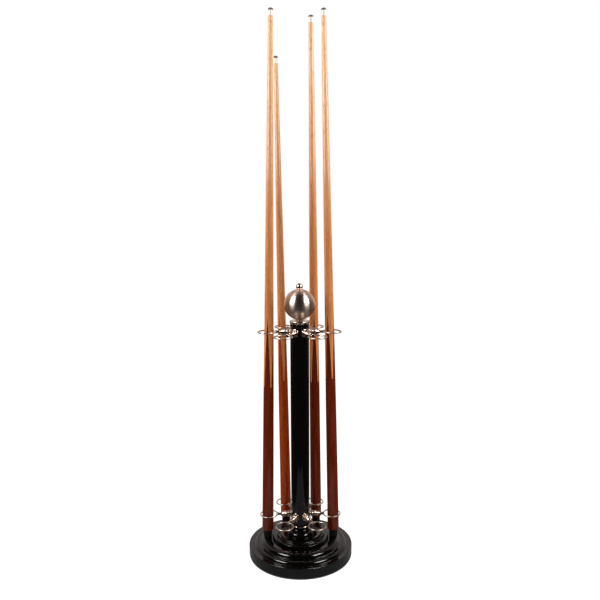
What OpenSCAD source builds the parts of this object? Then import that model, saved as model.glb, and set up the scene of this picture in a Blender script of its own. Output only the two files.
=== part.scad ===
// Round floor stand for six billiard cues, with four one-piece cues standing in it.
// The stand's axis is Z, the floor is Z = 0 and the front of the stand faces -Y.
// Lengths are in millimetres.

/* [Base] */
// Diameter of the turned base
base_d = 292; // [280:1:310]
// Height of the base's outer wall
rim_h = 32; // [28:1:34]
// Height of the ledge that the cues stand on
ledge_h = 50.5; // [48:0.5:53]
// Thickness of the felt pad under the base
pad_t = 3; // [1:0.5:3]
// Diameter of the weight plate let into the underside
weight_d = 200; // [160:5:230]
// Thickness of the weight plate
weight_t = 8; // [5:1:9]

/* [Column] */
// Diameter of the column
column_d = 51.5; // [48:0.5:54]
// Height of the column's lower end
column_bottom = 89.5; // [88:0.5:92]
// Height of the column's upper end
column_top = 666; // [660:1:690]
// Diameter of the steel tie rod inside the column
rod_d = 10; // [8:0.5:11]

/* [Finial] */
// Diameter of the ball on top
ball_d = 84; // [76:1:90]
// Height of the ball's centre
ball_z = 718.4; // [716:0.2:722]
// Diameter of the small knob on the ball
knob_d = 18.6; // [14:0.2:22]

/* [Holders] */
// Height of the lower row of rings
lower_z = 117.3; // [114:0.1:125]
// Height of the upper row of rings
upper_z = 643.7; // [600:0.1:648]
// Distance from the column's axis to a ring's centre
ring_reach = 88.7; // [87:0.1:90]
// Outer diameter of a ring
ring_d = 51.6; // [50:0.1:54]
// Diameter of the ring's wire
wire_d = 3.8; // [3:0.1:4.4]

/* [Cues] */
// Length of the three long cues
long_cue = 1422; // [1380:1:1480]
// Length of the short cue
short_cue = 1321; // [1250:1:1340]
// Diameter of a cue's butt end
butt_d = 32.4; // [30:0.1:32.6]
// Diameter of the short cue's butt end
short_butt_d = 31.4; // [29:0.1:32]
// Diameter of a leather tip
tip_d = 12.8; // [11:0.1:13.5]
// Diameter of the short cue's leather tip
short_tip_d = 11; // [10:0.1:13]
// Height of the rubber bumper under a butt
bumper_h = 22; // [16:0.5:26]
// Length of the ferrule
ferrule_h = 13; // [10:0.5:25]

/* [Hidden] */
$fn = 96;

PLACES = ["right", "back_right", "back_left", "left", "front_left", "front_right"];
ROWS = ["lower", "upper"];
CUES = ["left", "back_left", "back_right", "right"];
STAND = [
    "base", "weight_plate", "base_pad", "column_foot", "foot_ring", "column",
    "tie_rod", "tie_washer", "tie_nut", "top_cap", "ball_finial", "finial_knob"
];
HOLDERS = [
    for (row = ROWS) for (place = PLACES) for (piece = ["arm", "ring"])
        str(place, "_", row, "_", piece)
];
CUE_PIECES = ["tip", "ferrule", "shaft", "butt", "bumper", "bumper_screw"];

// Radii and heights of the base's turned steps
base_r = base_d / 2;
bead_r = base_r - 14.5;
bead_rise = 7.5;
bead_edge = 10;
ledge_r = base_r - 33;
ledge_edge = 14;
step_r = base_r - 66.4;
step_rise = 8;
lip_r = base_r - 78.2;
lip_rise = 4.8;
arris_r = 2;
groove_r = 1;
foot_chamfer = 1;
pad_inset = 1.5;
dish_flat_r = 42;
dish_edge = 22;

// Radii and heights inside the stand
column_r = column_d / 2;
rod_r = rod_d / 2;
rod_bore_r = rod_r + 1;
seat_gap = 0.03;
dish_floor = ledge_h + 5.5;
tenon_r = 15;
tenon_bottom = 36;
nut_pocket_r = 17;
nut_pocket_top = 14;
washer_t = 2;
nut_h = 8;
foot_spigot_r = 20;
foot_spigot_h = 8;
foot_ring_h = 4.5;
foot_top = column_bottom - foot_ring_h;
cap_h = 8.4;
cap_seat = 4;
cap_spigot_r = 12;
cap_spigot_h = 12;
ball_r = ball_d / 2;
knob_r = knob_d / 2;
knob_neck_r = 3.8;
knob_z = ball_z + ball_r + 6.5;
rod_bottom = 3.5;
rod_top = ball_z - ball_r + 20;
ball_wall = 1.6;
boss_r = 8;
boss_h = 18;
plug_h = 10;
stud_r = 3;

// Rings and arms
wire_r = wire_d / 2;
ring_r = ring_d / 2 - wire_r;
arm_spigot_r = 3;
arm_spigot_depth = 13;
arm_tip = ring_reach - ring_r + 3.2;

// Each cue's foot on the ledge, in X and Y
CUE_FOOT = [[-93.2, -1], [-40.7, 82.2], [47.8, 81.3], [94, -0.8]];
// How far each cue leans, in X and Y for each unit of height
CUE_LEAN = [[0.0165, 0.005], [-0.0139, -0.0065], [-0.0097, -0.0085], [-0.0212, 0.0045]];
// How far each cue is turned about its own axis
CUE_TURN = [-62, 12, 46, 20];
// Where each cue's light prongs end below, and its dark points above
PRONG_END = [440, 438, 433, 464];
POINT_END = [640, 632, 636, 646];
foot_gap = 0.3;
bumper_top_r = 12.2;
bumper_bottom_r = 11.5;
screw_r = 2;
screw_depth = 24;
screw_head_r = 4.2;
tip_h = 6.5;
ferrule_tenon_r = 4;
ferrule_tenon_h = 11;
waist_z = 400;
prong_tip_w = 1.6;

function cue_length(k) = k == 1 ? short_cue : long_cue;
function cue_butt_r(k) = (k == 1 ? short_butt_d : butt_d) / 2;
function cue_tip_r(k) = (k == 1 ? short_tip_d : tip_d) / 2;
// A cue tapers slowly to its waist, and faster from there to its tip
function cue_waist_r(k) = cue_butt_r(k) - (k == 1 ? 2.1 : 1.9);
function wood_top(k) = cue_length(k) - tip_h - ferrule_h;
function cue_r(k, z) =
    z < waist_z
        ? cue_butt_r(k) + (cue_waist_r(k) - cue_butt_r(k)) * (z - bumper_h) / (waist_z - bumper_h)
        : cue_waist_r(k) + (cue_tip_r(k) - cue_waist_r(k)) * (z - waist_z) / (cue_length(k) - waist_z);

// ---- Shared shapes ----

// Half outline of a disc with a rounded upper edge
module rounded_step(r, top, edge) {
    square([r - edge, top]);
    square([r, top - edge]);
    translate([r - edge, top - edge]) circle(edge);
}

// Small hollow fillet where a wall of radius r meets a ledge at height z
module cove(r, z, size) {
    difference() {
        translate([r - 1, z - 1]) square(size + 1);
        translate([r + size, z + size]) circle(size);
    }
}

module tube_at(r, bottom, top) {
    translate([0, 0, bottom]) cylinder(r = r, h = top - bottom);
}

// ---- Base ----

module base() {
    color([0.05, 0.045, 0.045]) difference() {
        rotate_extrude($fn = 180) base_outline();
        tube_at(weight_d / 2 + 0.5, 0, pad_t + weight_t + 0.2);
        tube_at(nut_pocket_r, 0, nut_pocket_top);
        tube_at(rod_bore_r, 0, dish_floor + 1);
        tube_at(tenon_r + seat_gap, tenon_bottom, dish_floor + 1);
    }
}

// Stepped outline: rim, bead, round ledge for the cues, upper step and the dish's lip
module base_outline() {
    bead_top = rim_h + bead_rise;
    step_top = ledge_h + step_rise;
    lip_top = step_top + lip_rise;
    difference() {
        union() {
            rounded_step(base_r, rim_h, arris_r);
            rounded_step(bead_r, bead_top, bead_edge);
            rounded_step(ledge_r, ledge_h, ledge_edge);
            rounded_step(step_r, step_top, arris_r);
            rounded_step(lip_r, lip_top, arris_r);
            cove(bead_r, rim_h, 1);
            cove(ledge_r, bead_top, 2);
            cove(lip_r, step_top, 2);
        }
        // underside, and the chamfer under the rim
        translate([-1, -1]) square([base_r + 2, pad_t + 1]);
        polygon([
            [base_r - foot_chamfer, pad_t - 1], [base_r - foot_chamfer, pad_t],
            [base_r, pad_t + foot_chamfer], [base_r + 1, pad_t + foot_chamfer], [base_r + 1, pad_t - 1]
        ]);
        // fine turned grooves where the bead and the ledge turn flat
        translate([bead_r - bead_edge - groove_r, bead_top]) circle(groove_r);
        translate([ledge_r - ledge_edge - groove_r, ledge_h]) circle(groove_r);
        // dish round the column's foot
        translate([dish_flat_r, dish_floor + dish_edge]) circle(dish_edge);
        translate([-1, dish_floor]) square([dish_flat_r + 1, 40]);
    }
}

module weight_plate() {
    color("dimgray") difference() {
        tube_at(weight_d / 2, pad_t, pad_t + weight_t);
        tube_at(nut_pocket_r, 0, pad_t + weight_t + 1);
    }
}

module base_pad() {
    color([0.12, 0.12, 0.12]) tube_at(base_r - pad_inset, 0, pad_t);
}

// ---- Column ----

// Turned foot: a ball-like swell, a neck and a bead, with a tenon below and a spigot above
module column_foot() {
    swell_edge = 12;
    swell_mid = [25.5, dish_floor + 4];
    neck_r = 25;
    bead_size = 3.5;
    bead_mid = [neck_r - 0.7, foot_top - 9];
    color([0.04, 0.04, 0.04]) difference() {
        union() {
            rotate_extrude($fn = 144) intersection() {
                union() {
                    translate(swell_mid) circle(swell_edge);
                    translate([0, dish_floor]) square([neck_r, foot_top - dish_floor]);
                    translate(bead_mid) circle(bead_size);
                }
                translate([0, dish_floor]) square([60, foot_top - dish_floor]);
            }
            tube_at(tenon_r, tenon_bottom, dish_floor + 1);
            tube_at(foot_spigot_r - seat_gap, foot_top - 1, column_bottom + foot_spigot_h - 0.5);
        }
        tube_at(rod_bore_r, tenon_bottom - 1, column_bottom + foot_spigot_h);
    }
}

module foot_ring() {
    edge = foot_ring_h / 2;
    color([0.72, 0.66, 0.62]) difference() {
        translate([0, 0, foot_top]) rotate_extrude($fn = 144) {
            square([column_r + 0.2, foot_ring_h]);
            translate([column_r + 0.2, edge]) circle(edge);
        }
        tube_at(foot_spigot_r, foot_top - 1, column_bottom + 1);
    }
}

module column() {
    color([0.03, 0.03, 0.03]) difference() {
        translate([0, 0, column_bottom]) cylinder(r = column_r, h = column_top - column_bottom, $fn = 144);
        tube_at(foot_spigot_r, column_bottom - 1, column_bottom + foot_spigot_h);
        tube_at(rod_bore_r, column_bottom, column_top + 1);
        tube_at(cap_spigot_r + seat_gap, column_top - cap_spigot_h - 0.5, column_top + 1);
        for (z = [lower_z, upper_z]) for (place = [0:5])
            rotate([0, 0, 60 * place]) translate([column_r - arm_spigot_depth - 1, 0, z])
                rotate([0, 90, 0]) cylinder(r = arm_spigot_r + seat_gap, h = arm_spigot_depth + 5);
    }
}

module tie_rod() {
    color("silver") tube_at(rod_r, rod_bottom, rod_top);
}

module tie_washer() {
    washer_r = 14;
    color("silver") difference() {
        tube_at(washer_r, nut_pocket_top - washer_t, nut_pocket_top);
        tube_at(rod_r + 0.3, 0, nut_pocket_top + 1);
    }
}

module tie_nut() {
    nut_top = nut_pocket_top - washer_t;
    nut_corners_d = 18.5;
    color("silver") difference() {
        translate([0, 0, nut_top - nut_h]) cylinder(d = nut_corners_d, h = nut_h, $fn = 6);
        tube_at(rod_r + seat_gap, 0, nut_top + 1);
    }
}

// ---- Top ----

// Flared cap with a dished top
module top_cap() {
    flare = 2.4;
    lip = 1.6;
    wall_r = column_r + 0.3;
    lip_mid_r = column_r + flare - lip;
    dish_r = 18.4;
    dish_mid = column_top + cap_h + 13;
    color([0.72, 0.66, 0.62]) difference() {
        union() {
            translate([0, 0, column_top]) rotate_extrude($fn = 144) {
                square([wall_r, cap_h]);
                translate([0, cap_h - 2 * lip]) square([lip_mid_r, 2 * lip]);
                translate([lip_mid_r, cap_h - lip]) circle(lip);
                // flared wall under the lip
                polygon([
                    [column_r, lip / 2], [wall_r, lip / 2],
                    [column_r + flare - 0.5, cap_h - 2.8], [column_r, cap_h - 1]
                ]);
            }
            tube_at(cap_spigot_r, column_top - cap_spigot_h, column_top + 1);
        }
        translate([0, 0, dish_mid]) sphere(dish_r, $fn = 96);
        tube_at(boss_r + 0.5, column_top + cap_seat, column_top + cap_h);
        tube_at(rod_r + 0.3, column_top - cap_spigot_h - 1, column_top + cap_h);
    }
}

// Hollow ball with a threaded boss inside at the bottom and a plug at the top
module ball_finial() {
    neck_bottom = column_top + cap_seat;
    color([0.72, 0.66, 0.62]) difference() {
        union() {
            difference() {
                translate([0, 0, ball_z]) sphere(ball_r, $fn = 180);
                translate([0, 0, ball_z]) sphere(ball_r - ball_wall, $fn = 180);
            }
            tube_at(boss_r, neck_bottom, ball_z - ball_r + boss_h);
            intersection() {
                tube_at(boss_r, ball_z + ball_r - plug_h, ball_z + ball_r);
                translate([0, 0, ball_z]) sphere(ball_r, $fn = 180);
            }
        }
        tube_at(rod_r + seat_gap, neck_bottom - 1, ball_z - ball_r + boss_h + 1);
        tube_at(stud_r + seat_gap, ball_z + ball_r - plug_h - 1, ball_z + ball_r + 1);
    }
}

module finial_knob() {
    color([0.72, 0.66, 0.62]) {
        difference() {
            union() {
                translate([0, 0, knob_z]) sphere(knob_r, $fn = 96);
                tube_at(knob_neck_r, ball_z + ball_r - 1, knob_z);
            }
            translate([0, 0, ball_z]) sphere(ball_r + seat_gap, $fn = 180);
        }
        tube_at(stud_r, ball_z + ball_r - plug_h, knob_z);
    }
}

// ---- Ring holders ----

module at_holder(place, z) {
    rotate([0, 0, 60 * place]) translate([0, 0, z]) children();
}

module ring_torus(r) {
    translate([ring_reach, 0, 0]) rotate_extrude($fn = 144) translate([ring_r, 0]) circle(r, $fn = 48);
}

// Half outline of the turned arm: radius along X, distance from the column's axis along Y
module arm_outline() {
    flange_r = 11;
    flange_end = 28.6;
    flange_edge = 1.4;
    stem_r = 5.6;
    stem_end = 42;
    bead_mid = [4.8, 33.6];
    bead_size = 4.2;
    bell_mid = [6.5, 41.6];
    bell_edge = 2.5;
    bell_end = 54;
    collar_r = 3.6;
    collar_edge = 1.6;
    tip_r = 4.6;
    tip_edge = 1.2;
    intersection() {
        union() {
            // flange against the column
            square([flange_r - flange_edge, flange_end]);
            translate([flange_r - flange_edge, flange_end - flange_edge]) circle(flange_edge);
            square([flange_r, flange_end - flange_edge]);
            // stem and round bead
            square([stem_r, stem_end]);
            translate(bead_mid) circle(bead_size);
            // bell, tapering towards the ring
            translate(bell_mid) circle(bell_edge);
            polygon([
                [0, 39.4], [6, 39.4], [8.6, 40.6], [9, 41.8], [8.5, 43.6],
                [6.9, 47.4], [5.7, 51], [5.1, bell_end], [0, bell_end]
            ]);
            translate([collar_r, bell_end]) circle(collar_edge);
            // neck, flared to the tip
            polygon([
                [0, 50], [3.9, bell_end], [3.5, 57], [3.6, 60], [4.3, 63.5],
                [tip_r, arm_tip - tip_edge], [0, arm_tip - tip_edge]
            ]);
            square([tip_r - tip_edge, arm_tip]);
            translate([tip_r - tip_edge, arm_tip - tip_edge]) circle(tip_edge);
        }
        // only the side right of the arm's own axis
        square([flange_r + 1, arm_tip + 1]);
    }
}

module holder_arm() {
    color([0.72, 0.66, 0.62]) difference() {
        union() {
            difference() {
                rotate([0, 90, 0]) rotate_extrude($fn = 72) arm_outline();
                translate([0, 0, -20]) cylinder(r = column_r + seat_gap, h = 40, $fn = 144);
            }
            translate([column_r - arm_spigot_depth, 0, 0]) rotate([0, 90, 0])
                cylinder(r = arm_spigot_r, h = arm_spigot_depth + 2);
        }
        ring_torus(wire_r + seat_gap);
    }
}

module holder_ring() {
    color([0.75, 0.69, 0.65]) ring_torus(wire_r);
}

// ---- Cues, each drawn upright from its own foot and then leaned ----

module at_cue(k) {
    lean = CUE_LEAN[k];
    slope = norm(lean);
    heading = atan2(lean[1], lean[0]);
    translate([CUE_FOOT[k][0], CUE_FOOT[k][1], ledge_h + foot_gap])
        rotate([0, atan(slope), heading]) rotate([0, 0, CUE_TURN[k] - heading]) children();
}

// Plain tapered body between two heights
module cue_cone(k, bottom, top) {
    rotate_extrude($fn = 96) polygon([
        [0, bottom], [cue_r(k, bottom), bottom],
        if (bottom < waist_z && top > waist_z) [cue_r(k, waist_z), waist_z],
        [cue_r(k, top), top], [0, top]
    ]);
}

// Two crossing wedges, growing upwards until they fill the cue
module splice_cross(k) {
    low = PRONG_END[k];
    high = POINT_END[k];
    full_w = 0.72 * cue_r(k, high);
    for (turn = [0, 90])
        rotate([90, 0, turn]) linear_extrude(height = 60, center = true) polygon([
            [-prong_tip_w, low], [prong_tip_w, low],
            [full_w, high], [full_w, high + 5], [-full_w, high + 5], [-full_w, high]
        ]);
}

module cue_shaft(k) {
    high = POINT_END[k];
    top = wood_top(k);
    color([0.82, 0.58, 0.36]) {
        cue_cone(k, high, top);
        intersection() {
            cue_cone(k, PRONG_END[k], high);
            splice_cross(k);
        }
        tube_at(ferrule_tenon_r, top - 1, top + ferrule_tenon_h);
    }
}

module cue_butt(k) {
    edge = 2;
    end_r = cue_r(k, bumper_h);
    color([0.38, 0.15, 0.08]) difference() {
        cue_cone(k, bumper_h, POINT_END[k]);
        splice_cross(k);
        // rounded edge at the butt end
        rotate_extrude($fn = 96) difference() {
            translate([end_r - edge, bumper_h - 1]) square([edge + 1, edge + 1]);
            translate([end_r - edge, bumper_h + edge]) circle(edge);
        }
        tube_at(screw_r + seat_gap, bumper_h - 1, bumper_h + screw_depth - 4);
    }
}

module cue_bumper() {
    edge = 1.5;
    color([0.06, 0.06, 0.06]) difference() {
        rotate_extrude($fn = 96) {
            polygon([[0, edge], [bumper_bottom_r, edge], [bumper_top_r, bumper_h], [0, bumper_h]]);
            square([bumper_bottom_r - edge, edge * 2]);
            intersection() {
                translate([bumper_bottom_r - edge, edge]) circle(edge);
                square([30, edge]);
            }
        }
        tube_at(screw_head_r + 0.5, -1, bumper_h - 8);
        tube_at(screw_r + 0.3, 0, bumper_h + 1);
    }
}

module cue_screw() {
    head_bottom = bumper_h - 11;
    color("silver") {
        tube_at(screw_head_r, head_bottom, bumper_h - 8);
        tube_at(screw_r, head_bottom, bumper_h - 8 + screw_depth);
    }
}

module cue_ferrule(k) {
    bottom = wood_top(k);
    color([0.95, 0.92, 0.85]) difference() {
        cue_cone(k, bottom, bottom + ferrule_h);
        tube_at(ferrule_tenon_r + seat_gap, bottom - 1, bottom + ferrule_tenon_h + 0.2);
    }
}

// Leather tip: a barrelled wall under a domed face
module cue_tip(k) {
    bottom = cue_length(k) - tip_h;
    r = cue_tip_r(k);
    dome = 9.5;
    color([0.2, 0.13, 0.1]) rotate_extrude($fn = 72) intersection() {
        translate([0, bottom]) square([r, tip_h]);
        translate([0, bottom + tip_h - dome]) circle(dome);
    }
}

module cue_piece(k, piece) {
    at_cue(k) {
        if (piece == "tip") cue_tip(k);
        if (piece == "ferrule") cue_ferrule(k);
        if (piece == "shaft") cue_shaft(k);
        if (piece == "butt") cue_butt(k);
        if (piece == "bumper") cue_bumper();
        if (piece == "bumper_screw") cue_screw();
    }
}

// ---- What is drawn ----

base();
weight_plate();
base_pad();
column_foot();
foot_ring();
column();
tie_rod();
tie_washer();
tie_nut();
top_cap();
ball_finial();
finial_knob();

for (row = [0:1]) for (place = [0:5]) {
    name = str(PLACES[place], "_", ROWS[row]);
    z = row == 0 ? lower_z : upper_z;
    at_holder(place, z) holder_arm();
    at_holder(place, z) holder_ring();
}

for (k = [0:3]) for (piece = CUE_PIECES)
    cue_piece(k, piece);
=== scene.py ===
"""Looks for the cue stand: materials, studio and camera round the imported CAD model.

All lengths are in metres, in the CAD model's own frame: Z is up the stand's column, the floor is
Z = 0 and -Y is the front. Angles round the stand are in degrees from the camera's side, positive to
the camera's right. Every visible piece is a CAD node that gets its material here. The floor and the
table top are staging.
"""
import math

import bpy
from mathutils import Matrix, Vector


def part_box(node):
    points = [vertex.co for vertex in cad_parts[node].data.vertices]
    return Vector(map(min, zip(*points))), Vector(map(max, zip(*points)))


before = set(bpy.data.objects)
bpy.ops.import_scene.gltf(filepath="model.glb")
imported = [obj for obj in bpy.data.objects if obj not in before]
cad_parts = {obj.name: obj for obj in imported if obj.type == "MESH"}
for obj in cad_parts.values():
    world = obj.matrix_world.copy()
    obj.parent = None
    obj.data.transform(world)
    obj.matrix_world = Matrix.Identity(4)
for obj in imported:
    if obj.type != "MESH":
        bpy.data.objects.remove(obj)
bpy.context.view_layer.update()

CUES = ["left", "back_left", "back_right", "right"]
SHORT_CUE = "back_left"
PLACES = ["right", "back_right", "back_left", "left", "front_left", "front_right"]
ROWS = ["lower", "upper"]

BLACK = (0, 0, 0)
WHITE = (1, 1, 1)

# Camera: it is in front of the stand, a little to the left of its axis, and looks slightly down
CAMERA_TURN = math.radians(1.08)
CAMERA_DISTANCE = 1.7568
CAMERA_HEIGHT = 0.9816
CAMERA_PITCH = math.radians(9.44)
CAMERA_ROLL = math.radians(-0.24)
CAMERA_SENSOR = 36
CAMERA_LENS = 39.55
CAMERA_SHIFT = (0.0007, 0.0250)

# Studio lights on each side: a wash that only lights matt surfaces, and a soft panel with two
# brighter tubes in front of it that only show in glossy ones
LIGHT_COLOUR = (1.0, 0.985, 0.965)
WASH_TURN = 72
WASH = dict(distance=1.6, bottom=0.3, top=2.4, width=1.0, radiance=5.4, for_gloss=False)
PANEL_TURN = 61
PANEL = dict(distance=1.15, bottom=1.1, top=1.95, width=0.74, radiance=9, for_gloss=True)
TUBE_TURNS = (55, 69)
TUBE = dict(distance=1.14, bottom=1.15, top=1.9, width=0.06, radiance=27, for_gloss=True)

# Room that the surfaces see: dark in front and below, with pale walls that fade in between two
# values of a direction's Y at the sides and the back, and of its Z at the horizon
ROOM_RADIANCE = 0.02
WALL_COLOUR = (1.0, 0.90, 0.87)
SIDE_WALLS = dict(start=0.0, end=0.35, high=0.4)
BACK_WALL = dict(start=0.45, end=0.75, high=0.6)
HORIZON = dict(start=-0.25, end=-0.05)

# Floor for the camera, and the smaller table top that the polished surfaces mirror
FLOOR = dict(side=6.0, front=3.0, back=9.0, height=0.0)
FLOOR_TONE = 0.25
FLOOR_GLOW = 0.99
TABLE = dict(side=0.32, front=0.62, back=1.2, height=-0.0005)
TABLE_TONE = 0.22
PAPER_MOTTLE = 1.04

# Roughness of the lacquer and the nickel
BASE_ROUGHNESS = 0.05
COLUMN_ROUGHNESS = 0.09
TURNED_ROUGHNESS = 0.13
RING_ROUGHNESS = 0.28
BALL_ROUGHNESS = 0.30

# Wood tones from dark to light grain; a shaft's colour gets paler between two heights, painted
# light standing in for the brighter light towards its top
TONE_STOPS = (0.28, 0.5, 0.74)
SHAFT_TONES = [(0.45, 0.16, 0.05), (0.535, 0.208, 0.07), (0.62, 0.268, 0.10)]
# painted light: shaft tones paler than the wood's own, used towards the top of the shaft
PAINTED_LIT_SHAFT_TONES = [(0.86, 0.50, 0.27), (0.93, 0.60, 0.35), (0.97, 0.69, 0.44)]
BUTT_TONES = [(0.074, 0.006, 0.0005), (0.112, 0.011, 0.0008), (0.158, 0.019, 0.0016)]
SHORT_BUTT_TONES = [(0.20, 0.020, 0.0008), (0.30, 0.037, 0.0015), (0.39, 0.060, 0.003)]
PAINTED_LIGHT_HEIGHTS = (0.80, 1.50)
BAND_TINT = (0.78, 0.66, 0.55)
FIBRE_TINT = (0.84, 0.76, 0.68)

# Grain of the two woods; the shift keeps any two cues from having the same grain
SHAFT_GRAIN = dict(pore=(0.28, 0.08, 0.025), streak_scale=230, pore_depth=0.12, coat=0.4)
BUTT_GRAIN = dict(pore=(0.03, 0.005, 0.002), streak_scale=300, pore_depth=0.25, coat=0.9)
BAND_TO_STREAK_SCALE = 0.28
GRAIN_SHIFT = (37, 53)


# ---- Places taken from the frame ----

def centre(node):
    """The middle of a CAD node's box."""
    low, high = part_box(node)
    return (low + high) / 2


def cue_axis(cue):
    """Foot point and unit direction of a cue's centre line."""
    foot = centre(f"{cue}_cue_bumper")
    tip = centre(f"{cue}_cue_tip")
    return foot, (tip - foot).normalized()


def round_the_stand(turn, distance, height):
    """A point round the stand's axis, at an angle from the camera's side."""
    angle = math.radians(turn) - CAMERA_TURN
    return Vector((distance * math.sin(angle), -distance * math.cos(angle), height))


# ---- Node helpers ----

class NodeTree:
    """A node tree and short ways to add nodes to it."""

    def __init__(self, tree):
        self.nodes = tree.nodes
        self.links = tree.links

    def feed(self, socket, value):
        """Links a socket to an output, or sets its own value; a colour is three numbers."""
        if isinstance(value, bpy.types.NodeSocket):
            self.links.new(value, socket)
        elif socket.type == "RGBA":
            socket.default_value = (*value, 1)
        else:
            socket.default_value = value

    def add(self, kind, inputs):
        """A new shader node with its inputs fed by name."""
        node = self.nodes.new(f"ShaderNode{kind}")
        for name, value in inputs.items():
            self.feed(node.inputs[name], value)
        return node

    def calculate(self, operation, *values):
        """The result of a calculation with two values."""
        node = self.add("Math", {})
        node.operation = operation
        for socket, value in zip(node.inputs, values):
            self.feed(socket, value)
        return node.outputs["Value"]

    def spread(self, value, low, high):
        """A value from 0 to 1, spread from low to high."""
        node = self.add("MapRange", {"Value": value, "To Min": low, "To Max": high})
        return node.outputs["Result"]

    def smooth_step(self, value, start, end, high=1.0):
        """A smooth rise from 0 to high while value goes from start to end."""
        inputs = {"Value": value, "From Min": start, "From Max": end, "To Max": high}
        node = self.add("MapRange", inputs)
        node.interpolation_type = "SMOOTHSTEP"
        return node.outputs["Result"]


SOCKETS = {
    "colour": "Base Color",
    "metallic": "Metallic",
    "roughness": "Roughness",
    "normal": "Normal",
    "tangent": "Tangent",
    "specular": "Specular IOR Level",
    "coat": "Coat Weight",
    "coat_roughness": "Coat Roughness",
    "sheen": "Sheen Weight",
    "sheen_roughness": "Sheen Roughness",
    "emission": "Emission Color",
    "emission_strength": "Emission Strength",
    "anisotropic": "Anisotropic",
    "anisotropic_turn": "Anisotropic Rotation",
}


class Surface(NodeTree):
    """A Principled material and the textures that feed it."""

    def __init__(self, name):
        self.material = bpy.data.materials.new(name)
        self.material.use_nodes = True
        super().__init__(self.material.node_tree)

    def shade(self, **values):
        """Feeds the Principled shader: links what varies, and sets the rest on its own sockets."""
        bsdf = self.nodes["Principled BSDF"]
        for key, value in values.items():
            self.feed(bsdf.inputs[SOCKETS[key]], value)
        return self.material

    def coordinates(self, scale=(1, 1, 1), rotation=(0, 0, 0), offset=(0, 0, 0)):
        """Object coordinates, stretched, turned and shifted."""
        where = self.add("TexCoord", {}).outputs["Object"]
        inputs = {"Vector": where, "Location": offset, "Rotation": rotation, "Scale": scale}
        return self.add("Mapping", inputs).outputs["Vector"]

    def noise(self, vector, scale, detail, distortion=0.0):
        """Noise from 0 to 1."""
        inputs = {"Vector": vector, "Scale": scale, "Detail": detail, "Distortion": distortion}
        return self.add("TexNoise", inputs).outputs["Fac"]

    def ramp(self, value, stops):
        """Colours along a value; stops are pairs of position and colour."""
        node = self.add("ValToRGB", {"Fac": value})
        elements = node.color_ramp.elements
        while len(elements) < len(stops):
            elements.new(0.5)
        for element, (position, colour) in zip(elements, stops):
            element.position = position
            element.color = (*colour, 1)
        return node.outputs["Color"]

    def mix(self, factor, a, b, blend="MIX"):
        """Colour b laid over colour a."""
        node = self.add("Mix", {})
        node.data_type = "RGBA"
        node.blend_type = blend
        self.feed(node.inputs["Factor"], factor)
        colours = [socket for socket in node.inputs if socket.type == "RGBA"]
        for socket, value in zip(colours, (a, b)):
            self.feed(socket, value)
        return next(socket for socket in node.outputs if socket.type == "RGBA")

    def bump(self, height, strength, distance, over=None):
        """Bumps in the surface, or on top of bumps that it has already."""
        inputs = {"Height": height, "Strength": strength, "Distance": distance}
        if over is not None:
            inputs["Normal"] = over
        return self.add("Bump", inputs).outputs["Normal"]


def grey(level):
    """A colour with no hue."""
    return (level, level, level)


# ---- Materials ----

def lacquer(name, roughness):
    """Black lacquer over turned wood: faint grain showing through, fine orange peel and dust."""
    s = Surface(name)
    grain = s.noise(s.coordinates(scale=(1, 1, 0.15)), scale=260, detail=4)
    peel = s.noise(s.coordinates(), scale=420, detail=2)
    haze = s.noise(s.coordinates(), scale=14, detail=5)
    dust = s.noise(s.coordinates(), scale=1900, detail=1)
    black = s.mix(grain, (0.0008, 0.0007, 0.0007), (0.0022, 0.0018, 0.0016))
    specks = s.ramp(dust, [(0.76, BLACK), (0.80, grey(0.02))])
    return s.shade(
        colour=s.mix(1.0, black, specks, "ADD"),
        roughness=s.spread(haze, roughness * 0.7, roughness * 1.35),
        normal=s.bump(peel, strength=0.02, distance=0.0001),
        specular=0.5,
    )


def tarnish(s):
    """Faint clouds over nickel, and the warm colour that they give it."""
    clouds = s.noise(s.coordinates(), scale=38, detail=5)
    return clouds, s.ramp(clouds, [(0.3, (0.66, 0.52, 0.44)), (0.7, (0.77, 0.63, 0.55))])


def polished_nickel(name, roughness):
    """Nickel plate polished bright, with tarnish clouds and fine handling scratches."""
    s = Surface(name)
    clouds, tone = tarnish(s)
    fine = s.coordinates(scale=(1, 0.2, 0.6))
    scratch = s.noise(fine, scale=2600, detail=2, distortion=0.4)
    wear = s.spread(scratch, roughness * 0.75, roughness * 1.3)
    return s.shade(
        colour=tone,
        roughness=s.calculate("ADD", wear, s.spread(clouds, -0.02, 0.03)),
        normal=s.bump(scratch, strength=0.05, distance=0.0002),
        metallic=1.0,
    )


def brushed_nickel(name, roughness):
    """Nickel brushed round the vertical axis: the highlights stretch up and down it."""
    s = Surface(name)
    _, tone = tarnish(s)
    brush = s.noise(s.coordinates(scale=(0.03, 0.03, 1)), scale=1500, detail=4)
    round_z = s.add("Tangent", {})
    round_z.direction_type = "RADIAL"
    round_z.axis = "Z"
    return s.shade(
        colour=tone,
        roughness=s.spread(brush, roughness * 0.85, roughness * 1.15),
        normal=s.bump(brush, strength=0.10, distance=0.0002),
        tangent=round_z.outputs["Tangent"],
        metallic=1.0,
        anisotropic=0.85,
        anisotropic_turn=0.25,
    )


def along_cue(s, cue, stretch=1):
    """Coordinates turned to a cue's own axis; a small stretch draws the grain out along it."""
    foot, along = cue_axis(cue)
    turn = along.to_track_quat("Z", "Y").inverted().to_euler()
    shift = (foot.x * GRAIN_SHIFT[0], foot.y * GRAIN_SHIFT[1], 0)
    return s.coordinates(scale=(1, 1, stretch), rotation=turn, offset=shift)


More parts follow.
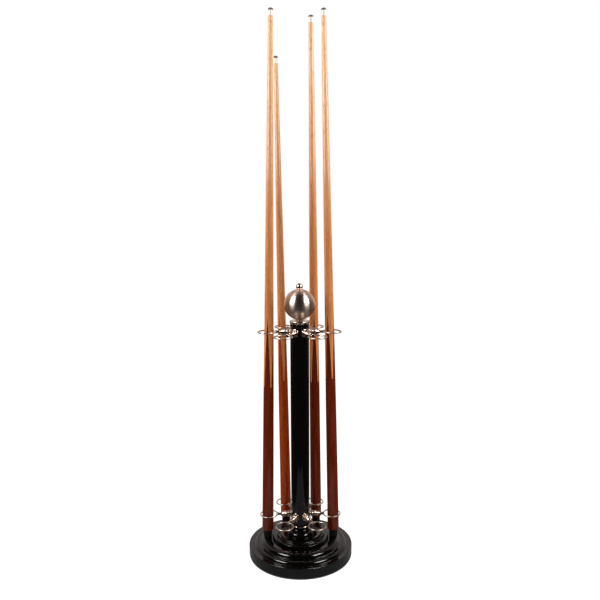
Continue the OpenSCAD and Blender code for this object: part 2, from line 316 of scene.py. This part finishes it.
def wood_tone(s, cue, streaks, tones, painted_lit_tones):
    """Grain colours that turn from one set of tones into the other up the cue; on a shaft the paler
    upper tones are painted light.
    """
    height = s.add("SeparateXYZ", {"Vector": along_cue(s, cue)}).outputs["Z"]
    near_tone = s.ramp(streaks, list(zip(TONE_STOPS, tones)))
    painted_lit_tone = s.ramp(streaks, list(zip(TONE_STOPS, painted_lit_tones)))
    # painted light: the tone turns paler between the two heights up the cue
    return s.mix(s.smooth_step(height, *PAINTED_LIGHT_HEIGHTS), near_tone, painted_lit_tone)


def wood(name, cue, tones, painted_lit_tones, pore, streak_scale, pore_depth, coat):
    """Lacquered straight-grained wood, with its grain along the cue; on a shaft its tones turn
    paler up the cue, which is painted light.
    """
    s = Surface(name)
    streaks = s.noise(along_cue(s, cue, 0.035), scale=streak_scale, detail=5, distortion=0.3)
    bands = s.noise(along_cue(s, cue, 0.012), scale=streak_scale * BAND_TO_STREAK_SCALE, detail=2)
    fibre = s.noise(along_cue(s, cue, 0.02), scale=2400, detail=3)
    pores = s.noise(along_cue(s, cue, 0.05), scale=1500, detail=1)
    tone = wood_tone(s, cue, streaks, tones, painted_lit_tones)
    for pattern, tint in ((bands, BAND_TINT), (fibre, FIBRE_TINT)):
        tone = s.mix(s.spread(pattern, 0.0, 0.6), tone, tint, "MULTIPLY")
    marks = s.ramp(pores, [(0.60, BLACK), (0.70, WHITE)])
    raised_fibre = s.bump(fibre, strength=0.08, distance=0.0001)
    return s.shade(
        colour=s.mix(marks, tone, pore),
        roughness=s.spread(streaks, 0.24, 0.34),
        normal=s.bump(marks, strength=pore_depth, distance=0.0001, over=raised_fibre),
        specular=0.08,
        coat=coat,
        coat_roughness=0.08,
    )


def bumper_rubber():
    """Matt moulded rubber with scuffs and a little chalky bloom."""
    s = Surface("bumper_rubber")
    grit = s.noise(s.coordinates(), scale=1300, detail=4)
    bloom = s.noise(s.coordinates(), scale=90, detail=4)
    return s.shade(
        colour=s.mix(bloom, (0.002, 0.002, 0.002), (0.006, 0.0057, 0.0054)),
        roughness=s.spread(grit, 0.5, 0.75),
        normal=s.bump(grit, strength=0.25, distance=0.0004),
        specular=0.2,
    )


def ferrule_plastic():
    """Cream moulded ferrule with faint turning lines and chalk grime."""
    s = Surface("ferrule_plastic")
    lines = s.noise(s.coordinates(scale=(0.05, 0.05, 1)), scale=2400, detail=2)
    grime = s.noise(s.coordinates(), scale=260, detail=5)
    return s.shade(
        colour=s.ramp(grime, [(0.35, (0.84, 0.79, 0.68)), (0.72, (0.66, 0.63, 0.56))]),
        roughness=s.spread(grime, 0.25, 0.45),
        normal=s.bump(lines, strength=0.15, distance=0.0002),
        coat=0.2,
    )


def tip_leather():
    """Layered pressed leather, darker than the ferrule, with blue-grey chalk in its grain."""
    s = Surface("tip_leather")
    layers = s.noise(s.coordinates(scale=(0.08, 0.08, 1)), scale=1500, detail=2)
    grain = s.noise(s.coordinates(), scale=1700, detail=6)
    chalk = s.noise(s.coordinates(), scale=420, detail=5)
    hide = s.mix(layers, (0.055, 0.032, 0.022), (0.12, 0.075, 0.05))
    dusted = s.ramp(chalk, [(0.5, BLACK), (0.72, grey(0.55))])
    return s.shade(
        colour=s.mix(dusted, hide, (0.16, 0.22, 0.27)),
        roughness=s.spread(grain, 0.7, 0.95),
        normal=s.bump(grain, strength=0.6, distance=0.0005),
    )


def plated_steel():
    """Zinc-plated steel with its faint spangle, for the rod, nut, washer and screws."""
    s = Surface("plated_steel")
    spangle = s.noise(s.coordinates(), scale=700, detail=4)
    return s.shade(
        colour=s.mix(spangle, (0.42, 0.43, 0.43), (0.62, 0.62, 0.6)),
        roughness=s.spread(spangle, 0.28, 0.5),
        metallic=1.0,
    )


def cast_iron():
    """Rough sand-cast weight plate."""
    s = Surface("cast_plate")
    sand = s.noise(s.coordinates(), scale=900, detail=6)
    return s.shade(
        colour=s.mix(sand, (0.02, 0.02, 0.02), (0.07, 0.068, 0.065)),
        roughness=s.spread(sand, 0.55, 0.8),
        normal=s.bump(sand, strength=0.6, distance=0.0008),
        metallic=0.7,
    )


def pad_felt():
    """Dark pressed felt under the base, with lint."""
    s = Surface("pad_felt")
    fibres = s.noise(s.coordinates(), scale=1600, detail=8, distortion=1.2)
    lint = s.noise(s.coordinates(), scale=240, detail=6)
    return s.shade(
        colour=s.mix(lint, (0.012, 0.012, 0.013), (0.045, 0.044, 0.045)),
        normal=s.bump(fibres, strength=0.8, distance=0.001),
        roughness=0.95,
        sheen=0.4,
        sheen_roughness=0.6,
    )


def paper(name, tone, glow):
    """Matt studio paper with a faint mottle; a glow makes it burn out to white."""
    s = Surface(name)
    mottle = s.noise(s.coordinates(), scale=30, detail=4)
    return s.shade(
        colour=s.mix(mottle, grey(tone), grey(tone * PAPER_MOTTLE)),
        roughness=0.9,
        specular=0.1,
        emission=WHITE,
        emission_strength=glow,
    )


# ---- Materials on the CAD nodes ----

def paint(material, *names):
    """Gives CAD nodes one material."""
    for name in names:
        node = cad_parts[name]
        node.data.materials.clear()
        node.data.materials.append(material)


def paint_stand():
    """Materials of the base, column, ball, arms and rings."""
    turned = polished_nickel("turned_nickel", TURNED_ROUGHNESS)
    wire = polished_nickel("ring_nickel", RING_ROUGHNESS)
    paint(lacquer("base_lacquer", BASE_ROUGHNESS), "base", "column_foot")
    paint(lacquer("column_lacquer", COLUMN_ROUGHNESS), "column")
    paint(turned, "foot_ring", "top_cap", "finial_knob")
    paint(brushed_nickel("brushed_nickel", BALL_ROUGHNESS), "ball_finial")
    for row in ROWS:
        for place in PLACES:
            paint(turned, f"{place}_{row}_arm")
            paint(wire, f"{place}_{row}_ring")
    paint(plated_steel(), "tie_rod", "tie_washer", "tie_nut")
    paint(cast_iron(), "weight_plate")
    paint(pad_felt(), "base_pad")


def paint_cues():
    """Materials of the cues; each cue has its own woods, because their grain follows its axis."""
    trim = {
        "bumper": bumper_rubber(),
        "bumper_screw": plated_steel(),
        "ferrule": ferrule_plastic(),
        "tip": tip_leather(),
    }
    for cue in CUES:
        butt_tones = SHORT_BUTT_TONES if cue == SHORT_CUE else BUTT_TONES
        # painted light: the shaft's wood is painted paler towards its top
        shaft = wood(f"{cue}_shaft_wood", cue, SHAFT_TONES, PAINTED_LIT_SHAFT_TONES, **SHAFT_GRAIN)
        butt = wood(f"{cue}_butt_wood", cue, butt_tones, butt_tones, **BUTT_GRAIN)
        paint(shaft, f"{cue}_cue_shaft")
        paint(butt, f"{cue}_cue_butt")
        for part, material in trim.items():
            paint(material, f"{cue}_cue_{part}")


# ---- Studio ----

def add_to_scene(item):
    """Puts a new object into the scene."""
    bpy.context.scene.collection.objects.link(item)


def softbox(name, turn, distance, bottom, top, width, radiance, for_gloss):
    """Upright light panel facing the stand's axis, between two heights."""
    tall = top - bottom
    light = bpy.data.lights.new(name, "AREA")
    light.shape = "RECTANGLE"
    light.size = width
    light.size_y = tall
    light.energy = radiance * math.pi * width * tall
    light.color = LIGHT_COLOUR
    item = bpy.data.objects.new(name, light)
    item.location = round_the_stand(turn, distance, (bottom + top) / 2)
    toward_axis = Vector((-item.location.x, -item.location.y, 0))
    item.rotation_mode = "QUATERNION"
    item.rotation_quaternion = toward_axis.to_track_quat("-Z", "Y")
    item.visible_camera = False
    item.visible_glossy = for_gloss
    item.visible_diffuse = not for_gloss
    add_to_scene(item)


def make_lights():
    """The same lights on both sides of the stand."""
    for name, side in (("left", -1), ("right", 1)):
        softbox(f"{name}_wash", side * WASH_TURN, **WASH)
        softbox(f"{name}_panel", side * PANEL_TURN, **PANEL)
        for number, turn in enumerate(TUBE_TURNS):
            softbox(f"{name}_tube_{number}", side * turn, **TUBE)


def room_level(tree):
    """How bright the room is in each direction."""
    where = tree.add("TexCoord", {}).outputs["Generated"]
    split = tree.add("SeparateXYZ", {"Vector": where})
    side = tree.smooth_step(split.outputs["Y"], **SIDE_WALLS)
    back = tree.smooth_step(split.outputs["Y"], **BACK_WALL)
    raised = tree.smooth_step(split.outputs["Z"], **HORIZON)
    walls = tree.calculate("MAXIMUM", side, back)
    walls = tree.calculate("MULTIPLY", walls, raised)
    return tree.calculate("ADD", walls, ROOM_RADIANCE)


def make_world():
    """White to the camera, and the dark room with pale walls to everything else."""
    world = bpy.data.worlds.new("studio")
    bpy.context.scene.world = world
    world.use_nodes = True
    tree = NodeTree(world.node_tree)
    seen = tree.nodes["Background"]
    tree.feed(seen.inputs["Color"], WHITE)
    tree.feed(seen.inputs["Strength"], 1.0)
    lit = tree.add("Background", {"Color": WALL_COLOUR, "Strength": room_level(tree)})
    is_camera = tree.add("LightPath", {}).outputs["Is Camera Ray"]
    choose = tree.add("MixShader", {"Fac": is_camera})
    tree.feed(choose.inputs[1], lit.outputs["Background"])
    tree.feed(choose.inputs[2], seen.outputs["Background"])
    tree.feed(tree.nodes["World Output"].inputs["Surface"], choose.outputs["Shader"])


def flat_sheet(name, material, side, front, back, height):
    """A level rectangle of staging that reaches side, front and back from the stand's axis."""
    corners = [(-side, -front), (side, -front), (side, back), (-side, back)]
    mesh = bpy.data.meshes.new(name)
    mesh.from_pydata([(x, y, height) for x, y in corners], [], [(0, 1, 2, 3)])
    mesh.materials.append(material)
    sheet = bpy.data.objects.new(name, mesh)
    add_to_scene(sheet)
    return sheet


def make_floor():
    """The pale floor, and the table top, which is hidden from the camera."""
    floor = flat_sheet("floor", paper("floor_paper", FLOOR_TONE, FLOOR_GLOW), **FLOOR)
    floor.visible_glossy = False
    table = flat_sheet("table", paper("table_paper", TABLE_TONE, glow=0.0), **TABLE)
    table.visible_camera = False
    table.visible_shadow = False


def make_camera():
    """The camera, placed and tilted by the values at the top."""
    data = bpy.data.cameras.new("camera")
    data.sensor_width = CAMERA_SENSOR
    data.lens = CAMERA_LENS
    data.shift_x, data.shift_y = CAMERA_SHIFT
    camera = bpy.data.objects.new("camera", data)
    camera.matrix_world = (
        Matrix.Translation(round_the_stand(0, CAMERA_DISTANCE, CAMERA_HEIGHT))
        @ Matrix.Rotation(-CAMERA_TURN, 4, "Z")
        @ Matrix.Rotation(math.pi / 2 - CAMERA_PITCH, 4, "X")
        @ Matrix.Rotation(CAMERA_ROLL, 4, "Z")
    )
    add_to_scene(camera)
    bpy.context.scene.camera = camera


make_camera()
paint_stand()
paint_cues()
make_world()
make_lights()
make_floor()
bpy.context.scene.view_settings.view_transform = "Standard"
